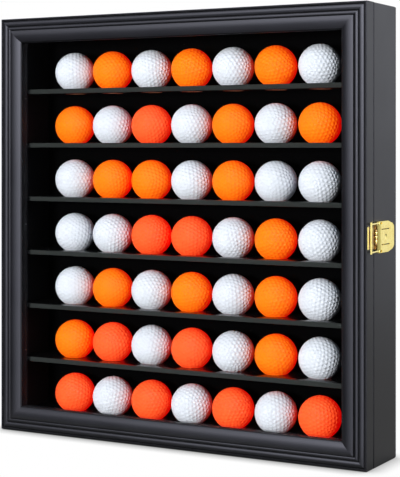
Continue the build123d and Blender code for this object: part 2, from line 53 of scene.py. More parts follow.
def newFinish(name, **settings):
    # a material with one Principled shader; the settings go straight on its sockets
    finish = bpy.data.materials.new(name)
    finish.use_nodes = True
    tree = finish.node_tree
    shader = tree.nodes["Principled BSDF"]
    for socket, value in settings.items():
        shader.inputs[socket.replace("_", " ")].default_value = value
    return finish, tree, shader


def setInputs(tree, node, inputs):
    for socket, value in inputs.items():
        if isinstance(value, bpy.types.NodeSocket):
            tree.links.new(value, node.inputs[socket])
        else:
            node.inputs[socket].default_value = value


def addNode(tree, kind, inputs=None, **settings):
    node = tree.nodes.new(kind)
    for setting, value in settings.items():
        setattr(node, setting, value)
    setInputs(tree, node, inputs or {})
    return node


def place(tree, stretch=None):
    # position in the object's own space, in metres
    where = addNode(tree, "ShaderNodeTexCoord").outputs["Object"]
    if stretch is None:
        return where
    return addNode(tree, "ShaderNodeMapping", {"Vector": where, "Scale": stretch}).outputs[0]


def noise(tree, where, size, detail=2.0, roughness=0.5):
    # size is how large one blotch is, in metres
    return addNode(tree, "ShaderNodeTexNoise", {
        "Vector": where, "Scale": 1.0 / size, "Detail": detail, "Roughness": roughness,
    }).outputs["Fac"]


def spread(tree, value, low, high, fromLow=0.3, fromHigh=0.7):
    return addNode(tree, "ShaderNodeMapRange", {
        "Value": value, "From Min": fromLow, "From Max": fromHigh, "To Min": low, "To Max": high,
    }).outputs["Result"]


def ramp(tree, value, start, end, low, high):
    # an even climb with soft ends
    return addNode(tree, "ShaderNodeMapRange", {
        "Value": value, "From Min": start, "From Max": end, "To Min": low, "To Max": high,
    }, interpolation_type="SMOOTHSTEP").outputs["Result"]


def mixColour(tree, factor, first, second):
    node = addNode(tree, "ShaderNodeMix", data_type="RGBA")
    setInputs(tree, node, {0: factor, 6: first, 7: second})
    return node.outputs[2]


def combine(tree, operation, first, second):
    return addNode(tree, "ShaderNodeMath", {0: first, 1: second}, operation=operation).outputs[0]


def bump(tree, shader, height, depth):
    # depth in metres for a height of 1
    inputs = {"Height": height, "Strength": 1.0, "Distance": depth}
    tree.links.new(addNode(tree, "ShaderNodeBump", inputs).outputs["Normal"], shader.inputs["Normal"])


def blotches(tree, shader, factor, colours, roughness=None):
    # two colours, and two roughnesses, that follow one pattern
    share = spread(tree, factor, 0, 1)
    tree.links.new(mixColour(tree, share, *colours), shader.inputs["Base Color"])
    if roughness is not None:
        tree.links.new(spread(tree, factor, *roughness), shader.inputs["Roughness"])


def addPiece(name, mesh, body, slotName, *replaced):
    piece = bpy.data.objects.new(name, mesh)
    scene.collection.objects.link(piece)
    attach(piece, body)
    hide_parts(*replaced)
    return piece


def dress(finish, *nodeNames):
    # a better finish for pieces that keep their shape
    for name in nodeNames:
        nodes[name].data.materials.clear()
        nodes[name].data.materials.append(finish)


cameraSet = {
    "at": (0.728178, -1.283830, 0.304782),
    "turn": 29.1407,  # degrees to the left of straight ahead
    "lens": 108.60,
    "sensor": 36.0,
    "shiftY": -0.1952,
}
lensData = bpy.data.cameras.new("camera")
lensData.sensor_fit = "VERTICAL"
lensData.sensor_height = cameraSet["sensor"]
lensData.sensor_width = cameraSet["sensor"]
lensData.lens = cameraSet["lens"]
lensData.shift_y = cameraSet["shiftY"]
camera = bpy.data.objects.new("camera", lensData)
camera.location = cameraSet["at"]
camera.rotation_euler = (math.radians(90), 0, math.radians(cameraSet["turn"]))
scene.collection.objects.link(camera)
scene.camera = camera
scene.view_settings.view_transform = "Standard"
print("camera set")


lampSet = {
    # glow is the brightness of the lamp's face; a lamp that shines shows in gloss alone, the others never do
    "front": {"at": (-0.08, -1.9, 0.38), "aim": (0, 0, 0.22), "size": (0.3, 0.3), "glow": 137.0,
              "shines": False, "colour": (1, 1, 1)},
    "sky": {"at": (0.0, -1.5, 1.30), "aim": (0, 0, 0.20), "size": (0.6, 0.6), "glow": 7.0,
            "shines": False, "colour": (0.78, 0.89, 1.0)},
    "over": {"at": (-0.60, 0.30, 1.40), "aim": (-0.1, 0, 0.40), "size": (1.0, 0.8), "glow": 4.0,
             "shines": True, "colour": (0.82, 0.84, 1.0)},
    "latch": {"at": (0.77, 1.37, 0.13), "aim": (0.21, 0, 0.22), "size": (0.9, 0.9), "glow": 0.38,
              "shines": True, "colour": (1, 1, 1)},
}

glassApart = bpy.data.collections.new("glass_apart")  # the lamps leave no glare on the pane
glassApart.objects.link(nodes["glazing_pane"])
glassApart.collection_objects[0].light_linking.link_state = "EXCLUDE"
brassOnly = bpy.data.collections.new("brass_only")  # what the latch's own lamp lights
for name, spec in lampSet.items():
    lampData = bpy.data.lights.new("light_" + name, "AREA")
    lampData.shape = "RECTANGLE"
    lampData.size, lampData.size_y = spec["size"]
    lampData.energy = spec["glow"] * math.pi * lampData.size * lampData.size_y
    lampData.color = spec["colour"]
    lamp = bpy.data.objects.new("light_" + name, lampData)
    lamp.location = spec["at"]
    lamp.rotation_euler = (Vector(spec["aim"]) - lamp.location).to_track_quat("-Z", "Z").to_euler()
    lamp.visible_camera = False
    lamp.visible_diffuse = not spec["shines"]
    lamp.visible_glossy = spec["shines"]
    lamp.light_linking.receiver_collection = brassOnly if name == "latch" else glassApart
    scene.collection.objects.link(lamp)

roomSet = {
    # the room's light: faint in front, bright behind,
    # and nearly three times as strong above the horizon as below it
    "front": 0.01, "back": 0.62, "turnFrom": -0.1, "turnTo": 0.6,
    "low": 0.55, "high": 1.55, "tiltFrom": -0.20, "tiltTo": 0.12,
    "colour": (0.90, 0.92, 1.0, 1),
    "paneTurns": 3.5,  # a look through the pane that bends fewer times ends on plain white
}
room = bpy.data.worlds.new("room")
scene.world = room
room.use_nodes = True
tree = room.node_tree
tree.nodes.clear()
path = addNode(tree, "ShaderNodeLightPath")
heading = addNode(tree, "ShaderNodeSeparateXYZ", {
    "Vector": addNode(tree, "ShaderNodeTexCoord").outputs["Generated"],
})
behind = spread(tree, heading.outputs["Y"], roomSet["front"], roomSet["back"],
                roomSet["turnFrom"], roomSet["turnTo"])
raised = spread(tree, heading.outputs["Z"], roomSet["low"], roomSet["high"],
                roomSet["tiltFrom"], roomSet["tiltTo"])
roomLight = addNode(tree, "ShaderNodeBackground", {
    "Color": roomSet["colour"], "Strength": combine(tree, "MULTIPLY", behind, raised),
})
seenWhite = addNode(tree, "ShaderNodeBackground", {"Color": (1, 1, 1, 1), "Strength": 1.0})
early = combine(tree, "LESS_THAN", path.outputs["Ray Depth"], roomSet["paneTurns"])
throughPane = combine(tree, "MULTIPLY", path.outputs["Is Transmission Ray"], early)
bothLights = addNode(tree, "ShaderNodeMixShader", {
    0: combine(tree, "MAXIMUM", path.outputs["Is Camera Ray"], throughPane),
    1: roomLight.outputs[0], 2: seenWhite.outputs[0],
})
addNode(tree, "ShaderNodeOutputWorld", {"Surface": bothLights.outputs[0]})

groundSet = {
    "half": 1.2, "frontEdge": -0.085, "colour": 0.8, "shadowReach": 0.022,
    "mirrored": 0.3,  # how bright the ground looks in gloss, where plain white is 1
}
half, frontEdge = groundSet["half"], groundSet["frontEdge"]
groundMesh = bpy.data.meshes.new("ground")
groundMesh.from_pydata(
    [(-half, frontEdge, 0), (half, frontEdge, 0), (half, half, 0), (-half, half, 0)], [], [(0, 1, 2, 3)])
ground = bpy.data.objects.new("ground", groundMesh)
scene.collection.objects.link(ground)
groundColour = (groundSet["colour"],) * 3 + (1,)
whiteGround, tree, shader = newFinish("white_ground", Roughness=0.9, Base_Color=groundColour)
path = addNode(tree, "ShaderNodeLightPath")
seen = combine(tree, "MAXIMUM", path.outputs["Is Camera Ray"], path.outputs["Is Glossy Ray"])
seen = combine(tree, "MAXIMUM", seen, path.outputs["Is Transmission Ray"])
contact = addNode(tree, "ShaderNodeAmbientOcclusion", {"Distance": groundSet["shadowReach"]}, samples=16)
mirrored = combine(tree, "SUBTRACT", path.outputs["Is Glossy Ray"], path.outputs["Is Transmission Ray"])
level = spread(tree, mirrored, 1.0, groundSet["mirrored"], 0, 1)
glow = addNode(tree, "ShaderNodeEmission", {"Color": contact.outputs["Color"], "Strength": level})
both = addNode(tree, "ShaderNodeMixShader", {0: seen, 1: shader.outputs[0], 2: glow.outputs[0]})
tree.links.new(both.outputs[0], tree.nodes["Material Output"].inputs["Surface"])
groundMesh.materials.append(whiteGround)

cardSet = {
    # a tall curved card round the front, that only glossy finishes show; turns are degrees, right is more
    "radius": 3.0, "turns": (-115, 80), "heights": (-6.0, 9.0), "columns": 48, "colour": (0.84, 0.85, 1.0),
    "dim": 0.03, "bright": 1.85, "rise": (-64, 40),  # level by turn
    "low": 1.0, "top": 6.0, "climb": (-0.10, 1.6),  # level by height in metres
}
cardPoints, cardFaces = [], []
for column in range(cardSet["columns"] + 1):
    first, last = cardSet["turns"]
    turn = math.radians(first + (last - first) * column / cardSet["columns"])
    x, y = cardSet["radius"] * math.sin(turn), -cardSet["radius"] * math.cos(turn)
    cardPoints += [(x, y, height) for height in cardSet["heights"]]
    if column:
        at = 2 * column
        cardFaces.append((at - 2, at - 1, at + 1, at))
cardMesh = bpy.data.meshes.new("light_card")
cardMesh.from_pydata(cardPoints, [], cardFaces)
card = bpy.data.objects.new("light_card", cardMesh)
scene.collection.objects.link(card)
card.visible_camera = card.visible_diffuse = card.visible_shadow = card.visible_transmission = False
card.light_linking.receiver_collection = glassApart
cardGlow = bpy.data.materials.new("card_glow")
cardGlow.use_nodes = True
tree = cardGlow.node_tree
tree.nodes.clear()
spot = addNode(tree, "ShaderNodeSeparateXYZ", {"Vector": place(tree)})
toFront = combine(tree, "MULTIPLY", spot.outputs["Y"], -1.0)
turn = combine(tree, "ARCTAN2", spot.outputs["X"], toFront)
riseFrom, riseTo = [math.radians(edge) for edge in cardSet["rise"]]
byTurn = ramp(tree, turn, riseFrom, riseTo, cardSet["dim"], cardSet["bright"])
byHeight = ramp(tree, spot.outputs["Z"], *cardSet["climb"], cardSet["low"], cardSet["top"])
glow = addNode(tree, "ShaderNodeEmission", {
    "Color": (*cardSet["colour"], 1), "Strength": combine(tree, "MULTIPLY", byTurn, byHeight),
})
addNode(tree, "ShaderNodeOutputMaterial", {"Surface": glow.outputs[0]})
cardMesh.materials.append(cardGlow)
print("lamps, room, ground and card set")


lacquerSet = {
    "colours": [(0.0040, 0.0041, 0.0052, 1), (0.0055, 0.0056, 0.0068, 1)],
    "roughness": (0.31, 0.36),
    "clouds": 0.05,  # size of the cloudy patches, in metres as the next three are
    "peel": 0.0009,
    "peelDepth": 0.000002,
    "seamShadeReach": 0.0011,  # how far the painted shade of the seam reaches on its rims, from its middle
    "seamTurn": 0.8,  # faces that look further forwards or back than this stay lacquered
    "seamShadeColour": (0.002, 0.002, 0.002, 1),
}
blackLacquer, tree, shader = newFinish("black_lacquer", IOR=1.5)
cloud = noise(tree, place(tree), lacquerSet["clouds"], detail=3)
blotches(tree, shader, cloud, lacquerSet["colours"], lacquerSet["roughness"])
bump(tree, shader, noise(tree, place(tree), lacquerSet["peel"], detail=1), lacquerSet["peelDepth"])
# the lacquer on both sides of the door's seam is painted plain black, as the gap's shade
seamY = (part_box("side_panel_right")[0].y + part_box("door_stile_right")[1].y) / 2
depth = addNode(tree, "ShaderNodeSeparateXYZ", {"Vector": place(tree)}).outputs["Y"]
fromSeam = combine(tree, "ABSOLUTE", combine(tree, "SUBTRACT", depth, seamY), 0.0)
inSeamShade = combine(tree, "LESS_THAN", fromSeam, lacquerSet["seamShadeReach"])
facing = addNode(tree, "ShaderNodeSeparateXYZ", {
    "Vector": addNode(tree, "ShaderNodeTexCoord").outputs["Normal"],
}).outputs["Y"]
onSkin = combine(tree, "LESS_THAN", combine(tree, "ABSOLUTE", facing, 0.0), lacquerSet["seamTurn"])
seamShadePaint = addNode(tree, "ShaderNodeBsdfPrincipled", {
    "Base Color": lacquerSet["seamShadeColour"], "Roughness": 0.9, "Specular IOR Level": 0.0,
})
lacquerMix = addNode(tree, "ShaderNodeMixShader", {
    0: combine(tree, "MULTIPLY", inSeamShade, onSkin), 1: shader.outputs[0], 2: seamShadePaint.outputs[0],
})
tree.links.new(lacquerMix.outputs[0], tree.nodes["Material Output"].inputs["Surface"])

finishSet = {
    # speckle is the size, detail and roughness of the pattern; depth is how far it stands up, in metres
    # the glazing beads' matte black, which on the door frame also paints shade into the grooves and rims
    "bead_black_and_groove_shade": {
        "speckle": (0.004, 3, 0.5), "depth": 0.00002, "Specular_IOR_Level": 0.15,
        "colours": [(0.0030, 0.0030, 0.0032, 1), (0.0045, 0.0045, 0.0048, 1)], "roughness": (0.45, 0.60),
    },
    # shelf tops are painted, their front edges are banded, and the seats show the bare board
    "shelf_black": {
        "speckle": (0.003, 4, 0.6), "depth": 0.00002, "IOR": 1.5,
        "colours": [(0.0030, 0.0030, 0.0030, 1), (0.0055, 0.0055, 0.0052, 1)], "roughness": (0.16, 0.24),
    },
    "shelf_band": {
        "speckle": (0.0012, 4, 0.6), "stretch": (0.15, 1, 1), "depth": 0.00003,
        "colours": [(0.026, 0.029, 0.027, 1), (0.032, 0.035, 0.032, 1)], "roughness": (0.45, 0.60),
    },
    "raw_board": {
        "speckle": (0.0012, 4, 0.7), "depth": 0.0001,
        "colours": [(0.24, 0.115, 0.055, 1), (0.40, 0.21, 0.11, 1)], "roughness": (0.75, 0.9),
    },
    "back_black": {
        "speckle": (0.0035, 5, 0.65), "depth": 0.00008,
        "colours": [(0.013, 0.0125, 0.012, 1), (0.024, 0.022, 0.020, 1)], "roughness": (0.5, 0.75),
    },
    "black_felt": {
        "speckle": (0.0007, 4, 0.7), "depth": 0.0003, "Roughness": 0.95, "Specular_IOR_Level": 0.0,
        "colours": [(0.0010, 0.0010, 0.0011, 1), (0.0022, 0.0022, 0.0024, 1)],
    },
    "pad_felt": {
        "speckle": (0.0006, 3, 0.7), "depth": 0.0002, "Roughness": 0.9,
        "colours": [(0.015, 0.015, 0.015, 1), (0.045, 0.045, 0.045, 1)],
    },
}


def speckledFinish(name, speckle, depth, colours, roughness=None, stretch=None, **settings):
    # one pattern gives the colour and the height, and the dullness where it has a range
    finish, tree, shader = newFinish(name, **settings)
    pattern = noise(tree, place(tree, stretch), *speckle)
    blotches(tree, shader, pattern, colours, roughness)
    bump(tree, shader, pattern, depth)
    return finish


finishes = {name: speckledFinish(name, **spec) for name, spec in finishSet.items()}

brassSet = {
    "colours": [(0.98, 0.84, 0.27, 1), (0.90, 0.71, 0.19, 1)], "roughness": (0.10, 0.24),
    "clouds": 0.004, "brush": 0.0002, "brushStretch": (1, 1, 0.08), "brushDepth": 0.000004,
}
polishedBrass, tree, shader = newFinish("polished_brass", Metallic=1.0)
cloud = noise(tree, place(tree), brassSet["clouds"], detail=3)
blotches(tree, shader, cloud, brassSet["colours"], brassSet["roughness"])
brush = noise(tree, place(tree, brassSet["brushStretch"]), brassSet["brush"], detail=2)
bump(tree, shader, brush, brassSet["brushDepth"])

shadedBrassSet = {
    # brass darkened as painted shade, inside the latch
    "colours": [(0.42, 0.26, 0.09, 1), (0.24, 0.14, 0.05, 1)], "roughness": (0.35, 0.5),
    "clouds": 0.002, "grain": 0.0003, "grainDepth": 0.000008,
}
shadedBrass, tree, shader = newFinish("brass_painted_shade", Metallic=1.0)
cloud = noise(tree, place(tree), shadedBrassSet["clouds"], detail=3)
blotches(tree, shader, cloud, shadedBrassSet["colours"], shadedBrassSet["roughness"])
bump(tree, shader, noise(tree, place(tree), shadedBrassSet["grain"], detail=2), shadedBrassSet["grainDepth"])

zincSet = {
    "colours": [(0.50, 0.51, 0.53, 1), (0.66, 0.67, 0.68, 1)], "roughness": (0.28, 0.45),
    "spangles": 900.0,  # along a metre
}
zincSteel, tree, shader = newFinish("zinc_steel", Metallic=1.0)
spangle = addNode(tree, "ShaderNodeTexVoronoi", {
    "Vector": place(tree), "Scale": zincSet["spangles"],
}).outputs["Distance"]
blotches(tree, shader, spangle, zincSet["colours"], zincSet["roughness"])

woodSet = {
    "colours": [(0.42, 0.27, 0.15, 1), (0.62, 0.45, 0.28, 1)], "roughness": (0.65, 0.8),
    "grain": 60.0, "wander": 4.0, "detail": 3.0, "depth": 0.00005,
}
rawWood, tree, shader = newFinish("raw_wood")
grain = addNode(tree, "ShaderNodeTexWave", {
    "Vector": place(tree), "Scale": woodSet["grain"], "Distortion": woodSet["wander"],
    "Detail": woodSet["detail"],
}, bands_direction="X").outputs["Fac"]
blotches(tree, shader, grain, woodSet["colours"], woodSet["roughness"])
bump(tree, shader, grain, woodSet["depth"])

paneSet = {
    "tint": (0.98, 0.99, 0.99, 1), "roughness": 0.02,
    "shade": (0.97, 0.98, 0.98, 1),  # what shadows and soft light keep on their way through
}
clearPane, tree, shader = newFinish("clear_pane", Roughness=paneSet["roughness"], IOR=1.49,
                                    Transmission_Weight=1.0, Base_Color=paneSet["tint"])
path = addNode(tree, "ShaderNodeLightPath")
through = addNode(tree, "ShaderNodeBsdfTransparent", {"Color": paneSet["shade"]})
soft = combine(tree, "MAXIMUM", path.outputs["Is Shadow Ray"], path.outputs["Is Diffuse Ray"])
paneMix = addNode(tree, "ShaderNodeMixShader", {0: soft, 1: shader.outputs[0], 2: through.outputs[0]})
tree.links.new(paneMix.outputs[0], tree.nodes["Material Output"].inputs["Surface"])

coverSet = {
    # glow and paintedLift: the colour and strength of a painted red glow, with no lamp, that lifts the red
    # everywhere so the shaded sides stay bright
    "white": {"glow": (0, 0, 0, 1), "paintedLift": 0.0,
              "colours": [(0.895, 0.912, 0.985, 1), (0.86, 0.875, 0.94, 1)]},
    "orange": {"glow": (1, 0, 0, 1), "paintedLift": 0.58,
               "colours": [(0.86, 0.275, 0.006, 1), (0.83, 0.247, 0.005, 1)]},
    "red_orange": {"glow": (1, 0, 0, 1), "paintedLift": 0.58,
                   "colours": [(0.86, 0.160, 0.034, 1), (0.83, 0.141, 0.028, 1)]},
}
coverSkin = {"clouds": 0.012, "roughness": (0.45, 0.55), "specular": 0.10}
covers = []
for name, spec in coverSet.items():
    # the orange covers glow red: painted light that keeps their shaded sides bright
    cover, tree, shader = newFinish("ball_" + name, Specular_IOR_Level=coverSkin["specular"],
                                    Emission_Color=spec["glow"], Emission_Strength=spec["paintedLift"])
    cloud = noise(tree, place(tree), coverSkin["clouds"], detail=3)
    blotches(tree, shader, cloud, spec["colours"], coverSkin["roughness"])
    covers.append(cover)
print("finishes made")


ballSet = {
    "diameter": 42.67 * mm,
    "rows": 6,  # dimples along each edge of the icosahedron that they are laid out on
    "steps": 6,  # mesh steps from one dimple's middle to the next
    "dimpleShare": 0.435,  # dimple radius over the distance to the next dimple
    "dimpleDepth": 0.76 * mm,
    "ringShares": (0.0, 0.5, 1.0),  # where the rings of points lie in a dimple, middle first
    "ringDepths": (1.0, 0.82, 0.0),  # how deep those rings lie, over the dimple's depth
    "landAt": 0.495,  # the ring of points between two dimples, over their distance
    "landSlack": 0.015,  # points nearer to that ring than this stay where they are
    "seed": 49,
    # white, orange and red-orange, top row first
    "colours": ["wowowow", "owrwowo", "woowoww", "wwrrwow", "wowowow", "orwrwow", "rwrwrwr"],
}


def dividedBall(parts):
    # a unit ball of small triangles, and the numbers of the points that are dimple middles
    ico = bmesh.new()
    bmesh.ops.create_icosphere(ico, subdivisions=1, radius=1.0)
    numbers, points, middles, faces = {}, [], [], []

    def number(corners, weights):
        key = tuple(sorted((corner.index, weight) for corner, weight in zip(corners, weights) if weight))
        if key not in numbers:
            spot = sum((corner.co * weight for corner, weight in zip(corners, weights)), Vector())
            numbers[key] = len(points)
            points.append(spot.normalized())
            middles.append(all(weight % ballSet["steps"] == 0 for weight in weights))
        return numbers[key]

    for face in ico.faces:
        corners = list(face.verts)
        for i in range(parts):
            for j in range(parts - i):
                k = parts - i - j
                first = number(corners, (k, i, j))
                second = number(corners, (k - 1, i + 1, j))
                third = number(corners, (k - 1, i, j + 1))
                faces.append((first, second, third))
                if k > 1:
                    faces.append((second, number(corners, (k - 2, i + 1, j + 1)), third))
    ico.free()
    return np.array(points), np.array(faces), np.flatnonzero(middles)


def dimpledBall():
    points, faces, middles = dividedBall(ballSet["rows"] * ballSet["steps"])
    centres = points[middles]
    near = centres @ centres.T - np.eye(len(centres)) * 3  # no dimple is its own neighbour
    spacing = np.arccos(np.sort(near, axis=1)[:, -5:].mean(1))  # to the five nearest
    land = len(ballSet["ringShares"])  # the ring after a dimple's own
    rings = np.full(len(points), ballSet["steps"])
    rings[middles] = 0
    edges = np.concatenate([faces[:, [0, 1]], faces[:, [1, 2]], faces[:, [2, 0]]])
    edges = np.concatenate([edges, edges[:, ::-1]])
    for ring in range(1, land):
        reached = edges[rings[edges[:, 0]] == ring - 1, 1]
        rings[reached[rings[reached] > ring]] = ring
    owner = (points @ centres.T).argmax(1)
    apart = np.arccos(np.clip((points * centres[owner]).sum(1), -1, 1)) / spacing[owner]
    rings[(rings >= land) & (apart < ballSet["landAt"] - ballSet["landSlack"])] = land
    shares = [share * ballSet["dimpleShare"] for share in ballSet["ringShares"]] + [ballSet["landAt"]]
    for ring in range(1, land + 1):
        at = np.flatnonzero(rings == ring)
        middle, reach = centres[owner[at]], spacing[owner[at]] * shares[ring]
        across = points[at] - middle * (points[at] * middle).sum(1)[:, None]
        across /= np.linalg.norm(across, axis=1)[:, None]
        points[at] = middle * np.cos(reach)[:, None] + across * np.sin(reach)[:, None]
    depths = np.array(list(ballSet["ringDepths"]) + [0.0] * ballSet["steps"]) * ballSet["dimpleDepth"]
    return points * (ballSet["diameter"] / 2 - depths[rings])[:, None], faces


turning = random.Random(ballSet["seed"])
ballPoints, ballFaces = dimpledBall()
seats = {}  # middles of each row's balls, x and y
for row, colours in enumerate(ballSet["colours"], 1):
    low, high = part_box(f"ball_row_{row}")
    step = (high.x - low.x - ballSet["diameter"]) / (len(colours) - 1)
    xs = [low.x + ballSet["diameter"] / 2 + step * i for i in range(len(colours))]
    seats[row] = [(x, (low.y + high.y) / 2) for x in xs]
    rowPoints, rowFaces, rowKinds = [], [], []
    for i, (colour, (x, y)) in enumerate(zip(colours, seats[row])):
        turn = Matrix.Identity(3)
        for axis in "XZY":
            turn = turn @ Matrix.Rotation(turning.uniform(0, math.tau), 3, axis)
        rowPoints.append(ballPoints @ np.array(turn).T + np.array([x, y, (low.z + high.z) / 2]))
        rowFaces.append(ballFaces + len(ballPoints) * i)
        rowKinds.append(np.full(len(ballFaces), "wor".index(colour)))
    mesh = bpy.data.meshes.new(f"balls_row_{row}")
    mesh.from_pydata(np.concatenate(rowPoints).tolist(), [], np.concatenate(rowFaces).tolist())
    for cover in covers:
        mesh.materials.append(cover)
    mesh.polygons.foreach_set("material_index", np.concatenate(rowKinds).astype(np.int32))
    mesh.shade_smooth()
    addPiece(f"balls_row_{row}", mesh, "cabinet", "ball", f"ball_row_{row}")
print("balls made:", len(ballFaces), "faces each")


def easedMesh(name, nodeName, ease, steps=2, sharp=30, flat=0.5):
    # the node's shape with its sharp outer edges rounded over; ease in mm, angles in degrees
    source = nodes[nodeName].data
    mesh = bpy.data.meshes.new(name)
    mesh.from_pydata([v.co for v in source.vertices], [], [tuple(p.vertices) for p in source.polygons])
    work = bmesh.new()
    work.from_mesh(mesh)
    bmesh.ops.remove_doubles(work, verts=work.verts, dist=weld)
    bmesh.ops.dissolve_limit(work, angle_limit=math.radians(flat), verts=work.verts, edges=work.edges)
    bmesh.ops.recalc_face_normals(work, faces=work.faces)
    limit = math.radians(sharp)
    outer = [e for e in work.edges if len(e.link_faces) == 2 and e.calc_face_angle_signed() > limit]
    bmesh.ops.bevel(work, geom=outer, offset=ease * mm, segments=steps, profile=0.5, affect="EDGES",
                    clamp_overlap=True)
    bmesh.ops.triangulate(work, faces=[f for f in work.faces if len(f.verts) > 4])
    work.to_mesh(mesh)
    work.free()
    mesh.shade_smooth()
    mesh.set_sharp_from_angle(angle=math.radians(sharp))
    return mesh


shelfSet = {
    "ease": 0.35,  # mm
    "seatRadius": 11.9 * mm,
    "finishes": ["shelf_black", "shelf_band", "raw_board"],
    "steep": 0.5,  # a seat's faces show the bare board where their normal rises less than this
    "frontal": -0.9,  # faces that look further forwards than this are banded
}
for row in seats:
    nodeName = f"shelf_{row}" if row < len(seats) else "base_ball_board"
    mesh = easedMesh(f"{nodeName}_board", nodeName, shelfSet["ease"])
    for name in shelfSet["finishes"]:
        mesh.materials.append(finishes[name])
    for face in mesh.polygons:
        inSeat = any(math.hypot(face.center.x - x, face.center.y - y) < shelfSet["seatRadius"]
                     for x, y in seats[row])
        if inSeat and abs(face.normal.z) < shelfSet["steep"]:
            face.material_index = shelfSet["finishes"].index("raw_board")
        elif face.normal.y < shelfSet["frontal"]:
            face.material_index = shelfSet["finishes"].index("shelf_band")
    addPiece(f"{nodeName}_board", mesh, "cabinet", "shelf_black", nodeName)
print("shelves made")


frameSet = {
    # the broad band of the moulding, in mm: from, to and middle are measured inwards from the door's edge
    "from": 12.7, "to": 25.41, "middle": 17.0, "radius": 13.5,
    "front": -37.775,  # y of the plane that heights are measured from
    "end": -0.9,  # height of the band's inner end
    "reach": 0.05,  # how far under that end a point may lie and still belong to the band
    "shadedBands": [(0.3, 3.3), (7.7, 9.2), (11.9, 13.1), (25.0, 40.0)],  # grooves and rims, painted as shade in the darker, duller bead black
    "shadedTurn": 0.3,  # faces that look further back than this are lacquered all the same
    "sharp": 30,  # degrees
    "members": {"door_stile_left": (0, -1), "door_stile_right": (0, 1), "door_rail_bottom": (2, -1),
                "door_rail_top": (2, 1)},  # axis that crosses the member, and which end of it is outside
}


def mouldedMember(nodeName, axis, side):
    # the node's frame member, with a gentler broad band
    source = nodes[nodeName].data
    mesh = bpy.data.meshes.new(f"{nodeName}_moulded")
    mesh.from_pydata([v.co for v in source.vertices], [], [tuple(p.vertices) for p in source.polygons])
    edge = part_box(nodeName)[side > 0][axis]
    radius, middle = frameSet["radius"], frameSet["middle"]
    fall = radius - math.sqrt(radius ** 2 - (frameSet["to"] - middle) ** 2)
    for vertex in mesh.vertices:
        inwards = abs(vertex.co[axis] - edge) / mm
        forwards = frameSet["front"] - vertex.co.y / mm
        if frameSet["from"] < inwards < frameSet["to"] and forwards > frameSet["end"] - frameSet["reach"]:
            drop = radius - math.sqrt(radius ** 2 - (inwards - middle) ** 2)
            vertex.co.y = (frameSet["front"] - frameSet["end"] - fall + drop) * mm
    work = bmesh.new()
    work.from_mesh(mesh)
    bmesh.ops.remove_doubles(work, verts=work.verts, dist=weld)
    bmesh.ops.recalc_face_normals(work, faces=work.faces)
    work.to_mesh(mesh)
    work.free()
    mesh.materials.append(blackLacquer)
    mesh.materials.append(finishes["bead_black_and_groove_shade"])
    # grooves and rims get the darker bead black: painted shade
    for face in mesh.polygons:
        inwards = abs(face.center[axis] - edge) / mm
        inShadedBand = any(start < inwards < end for start, end in frameSet["shadedBands"])
        face.material_index = int(inShadedBand and face.normal.y < frameSet["shadedTurn"])
    mesh.shade_smooth()
    mesh.set_sharp_from_angle(angle=math.radians(frameSet["sharp"]))
    addPiece(mesh.name, mesh, "door", "black_lacquer", nodeName)


for nodeName, (axis, side) in frameSet["members"].items():
    mouldedMember(nodeName, axis, side)
print("door frame made")


latchSet = {
    "axis": (0.212735, -0.018425),  # lever axis, x and y
    "barrel": 1.35 * mm,  # the knuckles' reach from the axis
    "apron": {"out": 0.3 * mm, "lip": 0.2 * mm, "to": 1.6 * mm, "half": 11.4 * mm},  # a plate in brass painted with shade, under the knuckles
    "keeperShade": 2.0 * mm,  # part of the keeper behind its rolled front that is painted with shade
}


def nearAxis(face):
    x, y = latchSet["axis"]
    return math.hypot(face.center.x - x, face.center.y - y) < latchSet["barrel"]


def addShadeApron(mesh):
    # a thin plate from the seam to the base, under the knuckles, in brass painted with shade
    apron = latchSet["apron"]
    low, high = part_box("latch_base")
    front, back = low.y - apron["lip"], latchSet["axis"][1] + apron["to"]
    middle = (low.z + high.z) / 2
    work = bmesh.new()
    work.from_mesh(mesh)
    corners = [(x, y, middle + z) for x in (low.x, low.x + apron["out"]) for y in (front, back)
               for z in (-apron["half"], apron["half"])]
    verts = [work.verts.new(corner) for corner in corners]
    made = bmesh.ops.convex_hull(work, input=verts)
    for face in made["geom"]:
        if isinstance(face, bmesh.types.BMFace):
            face.material_index = 1
    work.to_mesh(mesh)
    work.free()


